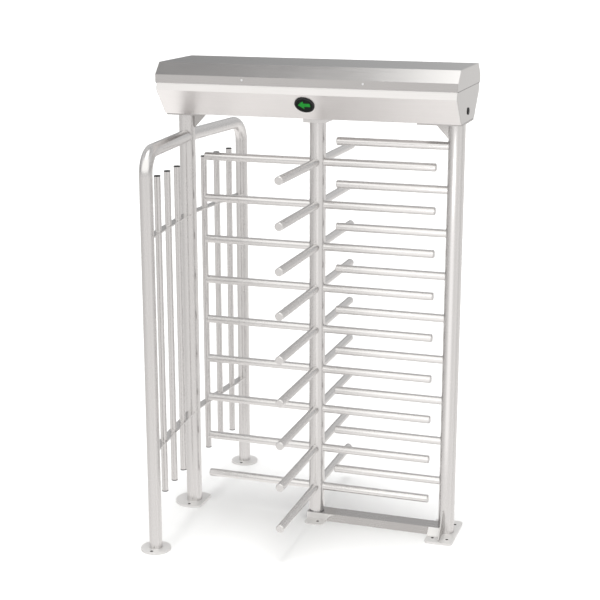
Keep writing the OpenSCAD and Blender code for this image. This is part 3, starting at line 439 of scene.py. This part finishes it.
def block(bm, low, size, bevel):
    """A box from its lowest corner, with all its edges rounded."""
    made = bmesh.ops.create_cube(bm, size=1.0)["verts"]
    for vert in made:
        vert.co = Vector(low) + Vector((c + 0.5) * d for c, d in zip(vert.co, size))
    edges = list({e for v in made for e in v.link_edges})
    bmesh.ops.bevel(bm, geom=edges, offset=bevel, segments=2, profile=0.5, affect="EDGES",
                    clamp_overlap=True)


def hex_head(bm, centre, radius, height, chamfer=0.8 * MM):
    """A hexagon bolt head that stands on a point, with its top edge turned down."""
    lathe(bm, [(0, 0), (radius, 0), (radius, height - chamfer), (radius - chamfer, height),
               (0, height)], centre, sides=6)


# ---------------------------------------------------------------- finished CAD shapes

for node, width in (("head_cover", 0.9), ("head_tray", 0.7), ("head_ends", 0.5),
                    ("post_top_flanges", 0.8), ("gussets", 0.8), ("right_post_base", 1.2),
                    ("round_feet", 1.2), ("sill", 0.8), ("sill_brackets", 0.8),
                    ("guard_rails", 0.8), ("bearing_cover", 1.5), ("mechanism_plate", 1.0),
                    ("solenoids", 1.5), ("power_supply", 1.0), ("bearing_housing", 0.8),
                    ("damper", 1.2), ("encoder", 1.0), ("locking_disc", 0.6)):
    softened(node, width * MM)


# ---------------------------------------------------------------- weld beads

BEAD = 1.4 * MM
STEP = 1.6 * MM
RIPPLE = 4


def saddle(column, column_r, angle, height, tube_r):
    """The closed line where a level tube meets an upright one."""
    count = RIPPLE * round(2 * math.pi * tube_r / STEP / RIPPLE)
    heading = Matrix.Rotation(math.radians(angle), 3, "Z")
    line = []
    for i in range(count):
        t = 2 * math.pi * i / count
        side = tube_r * math.sin(t)
        line.append(heading @ Vector((math.sqrt(column_r ** 2 - side ** 2), side,
                                      tube_r * math.cos(t)))
                    + Vector((column[0], column[1], height)))
    return line


def circle(centre, radius, height):
    """A level ring of points, in whole ripples."""
    count = RIPPLE * round(2 * math.pi * radius / STEP / RIPPLE)
    return [Vector((centre[0] + radius * math.cos(t), centre[1] + radius * math.sin(t), height))
            for t in (2 * math.pi * i / count for i in range(count))]


def straight(a, b):
    count = max(3, round((b - a).length / STEP))
    return [a.lerp(b, i / count) for i in range(count + 1)]


def middle(box):
    return (box[0] + box[1]) / 2


def weld_piece(name, body, rings, lines=()):
    bm = bmesh.new()
    for points in rings:
        tube_along(bm, points, BEAD, ripple=RIPPLE)
    for points in lines:
        tube_along(bm, points, BEAD, closed=False, ripple=RIPPLE)
    return make_piece(name, finish_mesh(bm, name, 60), weld, body)


def rotor_welds():
    """Beads where the arms of the four wings meet the column."""
    column_r = (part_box("rotor_column")[1][0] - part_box("rotor_column")[0][0]) / 2
    rings = []
    for side, angle in (("right", 0), ("rear", 90), ("left", 180), ("front", -90)):
        for box in solids_of("rotor_arms_" + side):
            arm_r = (box[1].z - box[0].z) / 2
            rings.append(saddle((0, 0), column_r, angle, middle(box).z, arm_r))
    weld_piece("rotor_welds", "rotor", rings)


def frame_welds():
    """Beads at the comb, posts, guard legs, guard bars and the right base's ribs."""
    right, left = (solids_of(name)[0] for name in ("right_post", "left_post"))
    post_r = (right[1].x - right[0].x) / 2
    rings = []
    for box in solids_of("comb_bars"):
        rings.append(saddle(middle(right), post_r, 180, middle(box).z, (box[1].z - box[0].z) / 2))
    flange_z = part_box("post_top_flanges")[0][2]
    for post, foot in ((right, "right_post_base"), (left, "round_feet")):
        rings.append(circle(middle(post), post_r + BEAD / 3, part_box(foot)[1][2]))
        rings.append(circle(middle(post), post_r + BEAD / 3, flange_z))
    feet = [box for box in solids_of("round_feet") if abs(middle(box).y) > post_r]
    for foot, guard in zip(feet, ("guard_tube_front", "guard_tube_rear")):
        leg = middle(foot)
        low, high = (Vector(corner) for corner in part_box(guard))
        leg_r = abs((low if leg.y < 0 else high).y - leg.y)
        rings.append(circle(leg, leg_r + BEAD / 3, foot[1].z))
        heading = math.degrees(math.atan2(leg.y - middle(left).y, leg.x - middle(left).x))
        rings.append(saddle(middle(left), post_r, heading, high.z - leg_r, leg_r))
    for bar in solids_of("guard_bars"):
        bar_r = (bar[1].x - bar[0].x) / 2
        for rail in solids_of("guard_rails"):
            if rail[0].y < middle(bar).y < rail[1].y:
                for z in (rail[0].z, rail[1].z):
                    rings.append(circle(middle(bar), bar_r + BEAD / 4, z))
    lines = []
    for box in solids_of("gussets"):
        if box[1].z > 1:
            continue
        far = max(box[0].y, box[1].y, key=abs)
        way = math.copysign(1, far)
        for x in (box[0].x, box[1].x):
            side = math.sqrt(post_r ** 2 - (x - middle(right).x) ** 2)
            lines.append(straight(Vector((x, far - way * 3 * MM, box[0].z)),
                                  Vector((x, way * (side + 3 * MM), box[0].z))))
            lines.append(straight(Vector((x, way * side, box[0].z + 4 * MM)),
                                  Vector((x, way * side, box[1].z - 2 * MM))))
    weld_piece("frame_welds", "frame", rings, lines)


rotor_welds()
frame_welds()


# ---------------------------------------------------------------- details inside the head

LIFT = 0.05 * MM
HUB_SCREW_R = 26 * MM
BEARING_SCREW_R = 56 * MM
PAWL_TURNS = (45, 225)
SOLENOID_SCREW_X = (133 * MM, 167 * MM)
SOLENOID_SCREW_Y = (5 * MM, 31 * MM)
SUPPLY_STEP = 11.5 * MM
BAND_LEAN = 8 * MM
SEAL_R = 2.2 * MM


def new_piece(name, build, mat, body, sharp=40):
    """A piece whose build function fills an empty bmesh."""
    bm = bmesh.new()
    build(bm)
    return make_piece(name, finish_mesh(bm, name, sharp), mat, body)


def cover_gap_shade_seal(bm):
    """A round black seal on the upper edge of the tray and of its ends: a dark line that stands for
    the shade in the gap under the cover's skirt.
    """
    tray_low, tray_high = (Vector(c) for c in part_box("head_tray"))
    ends_high = Vector(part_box("head_ends")[1])
    inset = 1 * MM
    corner = 10 * MM
    x1 = ends_high.x - inset
    y0 = tray_low.y + BAND_LEAN + inset
    y1 = tray_high.y - inset
    path = []
    for cx, cy, start in ((x1 - corner, y0 + corner, -90), (x1 - corner, y1 - corner, 0),
                          (-x1 + corner, y1 - corner, 90), (-x1 + corner, y0 + corner, 180)):
        for k in range(7):
            t = math.radians(start + 15 * k)
            path.append(Vector((cx + corner * math.cos(t), cy + corner * math.sin(t),
                                tray_high.z + 1.2 * MM)))
    tube_along(bm, path, SEAL_R, sides=10)


def end_shade_strips(bm):
    """A thin black strip inside each end of the cover, which shows as a thin dark line under its edge:
    painted shade for the gap there.
    """
    cover_low, cover_high = (Vector(c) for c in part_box("head_cover"))
    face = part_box("head_ends")[1][0]
    size = Vector((0.6 * MM, cover_high.y - cover_low.y - 6 * MM, 9 * MM))
    for x in (face + 0.25 * MM, -face - 0.25 * MM - size.x):
        block(bm, (x, cover_low.y + 3 * MM, cover_low.z - 3 * MM), size, 0.15 * MM)


# The board's own sizes, in mm from its middle
BOARD_SIZE = (170, 110, 1.6)
BOARD_TOP = 16.6
PILLAR_X = 77
PILLAR_Y = 47
RELAY_START = -60
RELAY_STEP = 30
PIN_START = -20.5
PIN_STEP = 2.4
BLOCK_START = -70
BLOCK_STEP = 24
BLOCKS = 6


def board_parts():
    """The control board in its own materials, in place of the plain CAD board."""
    low, high = (Vector(c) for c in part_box("control_board"))
    centre = (low + high) / 2
    size = Vector(BOARD_SIZE) * MM
    top = low.z + BOARD_TOP * MM

    def at(x, y, z=0.0):
        return Vector((centre.x + x * MM, centre.y + y * MM, top + z * MM))

    def plate(bm):
        block(bm, Vector((centre.x, centre.y, top - size.z)) - Vector((size.x, size.y, 0)) / 2,
              size, 0.4 * MM)

    def pillars(bm):
        for x in (-PILLAR_X, PILLAR_X):
            for y in (-PILLAR_Y, PILLAR_Y):
                lathe(bm, [(0, -16.5 * MM), (3 * MM, -16.5 * MM), (3 * MM, -1.7 * MM),
                           (0, -1.7 * MM)], at(x, y), sides=6)
                lathe(bm, [(0, 0.1 * MM), (2.8 * MM, 0.1 * MM), (2.6 * MM, 1.6 * MM),
                           (0.9 * MM, 1.9 * MM), (0, 1.4 * MM)], at(x, y), sides=20)

    def relays(bm):
        for i in range(4):
            block(bm, at(RELAY_START + RELAY_STEP * i, 24, 0.1), Vector((20, 16, 14.2)) * MM,
                  0.8 * MM)

    def chips(bm):
        block(bm, at(-22, -18, 0.5), Vector((30, 30, 1.8)) * MM, 0.3 * MM)
        block(bm, at(36, -12, 0.5), Vector((16, 10, 1.6)) * MM, 0.3 * MM)
        for x, y in ((-70, -8), (-70, 6), (62, 2)):
            block(bm, at(x, y, 0.1), Vector((8, 5, 2.2)) * MM, 0.3 * MM)

    def pins(bm):
        for k in range(12):
            shift = PIN_START + PIN_STEP * k
            for x, y, dx, dy in ((shift, -19.6, 0.5, 1.6), (shift, 12.0, 0.5, 1.6),
                                 (-23.6, shift + 4, 1.6, 0.5), (8.0, shift + 4, 1.6, 0.5)):
                block(bm, at(x, y, 0.1), Vector((dx, dy, 0.8)) * MM, 0.1 * MM)
        for i in range(BLOCKS):
            for dx in (5, 13):
                lathe(bm, [(0, 0.2 * MM), (1.9 * MM, 0.2 * MM), (1.9 * MM, 0.7 * MM),
                           (0, 0.9 * MM)], at(BLOCK_START + BLOCK_STEP * i + dx, -44, 10.2),
                      sides=16)

    def terminals(bm):
        for i in range(BLOCKS):
            block(bm, at(BLOCK_START + BLOCK_STEP * i, -50, 0.1),
                  Vector((18, 12, 10.2)) * MM, 0.6 * MM)

    def cans(bm):
        for x, y, r, h in ((52, -26, 5, 12), (66, -26, 5, 12), (44, 6, 3.2, 8)):
            lathe(bm, [(0, 0.1 * MM), (r * MM, 0.1 * MM), (r * MM, 1.4 * MM),
                       ((r - 0.4) * MM, 1.8 * MM), (r * MM, 2.2 * MM), (r * MM, (h - 0.6) * MM),
                       ((r - 0.6) * MM, h * MM), (0, h * MM)], at(x, y), sides=28)

    made = new_piece("board_plate", plate, board, "frame")
    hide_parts("control_board")
    new_piece("board_pillars", pillars, zinc, "frame")
    new_piece("board_relays", relays, relay_blue, "frame")
    new_piece("board_chips", chips, coil_black, "frame")
    new_piece("board_pins", pins, bearing_steel, "frame")
    new_piece("board_terminals", terminals, terminal_green, "frame")
    new_piece("board_capacitors", cans, coil_black, "frame")


def supply_terminals(bm):
    """The screws of the power supply's terminal row."""
    low, high = (Vector(c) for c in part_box("power_supply"))
    for k in range(7):
        centre = Vector((low.x + 6 * MM, (low.y + high.y) / 2 + (k - 3) * SUPPLY_STEP,
                         (low.z + high.z) / 2))
        lathe(bm, [(0, 0.1 * MM), (4 * MM, 0.1 * MM), (4 * MM, 1 * MM), (2.9 * MM, 1 * MM),
                   (2.9 * MM, 2.6 * MM), (2.4 * MM, 3.1 * MM), (0, 3.1 * MM)], centre, sides=20)


def supply_barriers(bm):
    """The low walls between the power supply's terminals."""
    low, high = (Vector(c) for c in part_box("power_supply"))
    for k in range(8):
        y = (low.y + high.y) / 2 + (k - 3.5) * SUPPLY_STEP - 0.6 * MM
        block(bm, Vector((low.x + 1 * MM, y, (low.z + high.z) / 2 + LIFT)),
              Vector((10, 1.2, 9)) * MM, 0.3 * MM)


def hub_screws(bm):
    """Screws in the gear's hub, and the ring that keeps it on the shaft."""
    high = Vector(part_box("drive_gear")[1])
    for k in range(4):
        t = math.radians(45 + 90 * k)
        hex_head(bm, (HUB_SCREW_R * math.cos(t), HUB_SCREW_R * math.sin(t), high.z + LIFT),
                 4 * MM, 3 * MM)
    shaft_r = Vector(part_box("drive_shaft")[1]).x
    ring = [Vector(((shaft_r + 0.4 * MM) * math.cos(t), (shaft_r + 0.4 * MM) * math.sin(t),
                    high.z + 1.3 * MM))
            for t in (math.radians(20 + 320 * k / 48) for k in range(49))]
    tube_along(bm, ring, 1.1 * MM, sides=8, closed=False)


def solenoid_screws(bm):
    """Four screws in the top of each solenoid, beside its pawl."""
    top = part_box("solenoids")[1][2]
    for turn in PAWL_TURNS:
        heading = Matrix.Rotation(math.radians(turn), 3, "Z")
        for x in SOLENOID_SCREW_X:
            for y in SOLENOID_SCREW_Y:
                spot = heading @ Vector((x, y, 0))
                hex_head(bm, (spot.x, spot.y, top + LIFT), 2.6 * MM, 1.8 * MM, 0.4 * MM)


def bearing_screws(bm):
    """Screws in the bearing housing's flange."""
    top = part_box("bearing_housing")[1][2]
    for k in range(6):
        t = math.radians(30 + 60 * k)
        hex_head(bm, (BEARING_SCREW_R * math.cos(t), BEARING_SCREW_R * math.sin(t), top + LIFT),
                 4.5 * MM, 3.2 * MM)


def key_ring(bm):
    """The raised ring round the key barrel."""
    low, high = (Vector(c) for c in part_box("key_barrel"))
    y, z = (low.y + high.y) / 2, (low.z + high.z) / 2
    radius = (high.y - low.y) / 2 + 1.4 * MM
    path = [Vector((high.x + 0.2 * MM, y + radius * math.cos(t), z + radius * math.sin(t)))
            for t in (2 * math.pi * k / 40 for k in range(40))]
    tube_along(bm, path, 0.9 * MM, sides=8)


new_piece("cover_gap_shade_seal", cover_gap_shade_seal, rubber_black, "frame")
new_piece("end_shade_strips", end_shade_strips, rubber_black, "cover")
board_parts()
new_piece("supply_terminals", supply_terminals, zinc, "frame")
new_piece("supply_barriers", supply_barriers, coil_black, "frame")
new_piece("hub_screws", hub_screws, zinc, "rotor")
new_piece("solenoid_screws", solenoid_screws, zinc, "frame")
new_piece("bearing_screws", bearing_screws, zinc, "frame")
new_piece("key_ring", key_ring, black_oxide, "frame")


# ---------------------------------------------------------------- floor, light and camera

FLOOR_HALF = 150.0
FLOOR_DROP = 0.0005
CARD_TURN = -12

# Tones of the surroundings by direction in degrees: 0 is the front and 90 is the right
LOW_TONES = (
    (-180, 0.95), (-150, 0.95), (-113, 0.80), (-80, 0.78), (-50, 0.88), (-20, 1.0),
    (10, 1.0), (40, 0.96), (70, 1.08), (97, 0.80), (125, 1.05), (160, 0.88))
HORIZON_TONES = (
    (-180, 0.80), (-168, 0.50), (-157, 0.31), (-140, 0.36), (-90, 0.50), (90, 0.53),
    (180, 0.80))
LOW_TINT = (1, 0.985, 0.97)
GROUND_COLOUR = (1.24, 1.22, 1.20)
# Tones overhead by height, from the horizon at 0 to straight up at 1
ZENITH_TONES = ((0.0, 0.60), (0.6, 0.80), (0.80, 0.74), (0.9, 0.44), (0.955, 0.52), (0.98, 2.2))
WINDOW_COLOURS = ((0.3, (1.5, 1.5, 1.47)), (0.84, (1.5, 1.5, 1.47)), (0.93, (1.7, 1.7, 1.67)),
                  (0.97, (2.6, 2.6, 2.55)))

CAMERA_PLACE = (1.91796, -6.10521, 2.76595)
CAMERA_TILT = 90 - 14.555
CAMERA_TURN = 18.177
CAMERA_LENS = 83.607


def studio_floor():
    """A pale floor that fades into the white behind it, and isn't seen in the steel."""
    mesh = bpy.data.meshes.new("floor")
    half = FLOOR_HALF
    mesh.from_pydata([(-half, -half, 0), (half, -half, 0), (half, half, 0), (-half, half, 0)], [],
                     [(0, 1, 2, 3)])
    floor = bpy.data.objects.new("floor", mesh)
    bpy.context.scene.collection.objects.link(floor)
    mat, tree, bsdf = new_material("pale_floor")
    clouds = noise(tree, 0.8)
    tree.links.new(ramp(tree, clouds, [(0.3, (0.82, 0.82, 0.82)), (0.7, (0.84, 0.84, 0.84))]),
                   bsdf.inputs["Base Color"])
    bsdf.inputs["Roughness"].default_value = 0.8
    bsdf.inputs["Specular IOR Level"].default_value = 0.1
    mesh.materials.append(mat)
    floor.location.z = -FLOOR_DROP
    floor.visible_glossy = False


def lamps():
    """A wide soft lamp overhead, and two soft cards in front on the right."""
    sun = bpy.data.lights.new("overhead", "SUN")
    sun.energy = 1.6
    sun.angle = math.radians(22)
    lamp = bpy.data.objects.new("overhead", sun)
    lamp.rotation_euler = (math.radians(-1), 0, 0)
    lamp.visible_glossy = False
    bpy.context.scene.collection.objects.link(lamp)

    for name, wide, tall, energy, spread, place in (
            ("soft_card", 0.95, 1.8, 0.75, 100, (0.50, -0.90, 0.95)),
            ("small_card", 0.24, 0.22, 0.05, 40, (0.52, -0.80, 1.64))):
        light = bpy.data.lights.new(name, "AREA")
        light.shape = "RECTANGLE"
        light.size = wide
        light.size_y = tall
        light.energy = energy
        light.spread = math.radians(spread)
        card = bpy.data.objects.new(name, light)
        card.location = place
        card.rotation_euler = (math.radians(90), 0, math.radians(CARD_TURN))
        card.visible_camera = False
        bpy.context.scene.collection.objects.link(card)


def direction_ramp(tree, around, tones, tint=(1, 1, 1)):
    """A ramp through (degrees, tone) stops round the horizon."""
    return ramp(tree, around, [(place / 360 + 0.5, tuple(tone * c for c in tint))
                               for place, tone in tones])


def surroundings():
    """What the steel reflects: tones by direction and height. The camera sees plain white."""
    world = bpy.data.worlds.new("studio")
    bpy.context.scene.world = world
    world.use_nodes = True
    tree = world.node_tree
    tree.nodes.clear()
    out = tree.nodes.new("ShaderNodeOutputWorld")
    background = tree.nodes.new("ShaderNodeBackground")
    coords = tree.nodes.new("ShaderNodeTexCoord")
    parts = tree.nodes.new("ShaderNodeSeparateXYZ")
    tree.links.new(coords.outputs["Generated"], parts.inputs["Vector"])
    height = parts.outputs["Z"]
    turn = math_node(tree, "ARCTAN2", parts.outputs["X"],
                     math_node(tree, "MULTIPLY", parts.outputs["Y"], -1.0))
    around = ranged(tree, turn, 0.0, 1.0, -math.pi, math.pi)

    low = direction_ramp(tree, around, LOW_TONES, LOW_TINT)
    ground = mixed_colour(tree, ranged(tree, height, 0.0, 1.0, -0.2, -0.6, smooth=True), low,
                          GROUND_COLOUR)
    horizon = direction_ramp(tree, around, HORIZON_TONES)
    zenith = ramp(tree, height, [(place, (tone,) * 3) for place, tone in ZENITH_TONES])
    high = mixed_colour(tree, ranged(tree, height, 0.0, 1.0, 0.09, 0.5, smooth=True), horizon,
                        zenith)
    below = ranged(tree, height, 0.0, 1.0, 0.06, -0.06, smooth=True)
    base = mixed_colour(tree, below, high, ground)

    front = math_node(tree, "MULTIPLY",
                      ranged(tree, turn, 0.0, 1.0, math.radians(-65), math.radians(-46), smooth=True),
                      ranged(tree, turn, 0.0, 1.0, math.radians(85), math.radians(65), smooth=True))
    window = math_node(tree, "MULTIPLY", front,
                       ranged(tree, height, 0.0, 1.0, 0.03, 0.2, smooth=True))
    lit = mixed_colour(tree, window, base, ramp(tree, height, WINDOW_COLOURS))

    path = tree.nodes.new("ShaderNodeLightPath")
    seen = tree.nodes.new("ShaderNodeBackground")
    seen.inputs["Color"].default_value = (1, 1, 1, 1)
    mix = tree.nodes.new("ShaderNodeMixShader")
    tree.links.new(lit, background.inputs["Color"])
    tree.links.new(path.outputs["Is Camera Ray"], mix.inputs["Fac"])
    tree.links.new(background.outputs["Background"], mix.inputs[1])
    tree.links.new(seen.outputs["Background"], mix.inputs[2])
    tree.links.new(mix.outputs["Shader"], out.inputs["Surface"])
    bpy.context.scene.view_settings.view_transform = "Standard"


def camera():
    data = bpy.data.cameras.new("camera")
    data.sensor_width = 36.0
    data.lens = CAMERA_LENS
    data.clip_end = 500
    cam = bpy.data.objects.new("camera", data)
    cam.location = CAMERA_PLACE
    cam.rotation_euler = (math.radians(CAMERA_TILT), 0, math.radians(CAMERA_TURN))
    bpy.context.scene.collection.objects.link(cam)
    bpy.context.scene.camera = cam


studio_floor()
lamps()
surroundings()
camera()
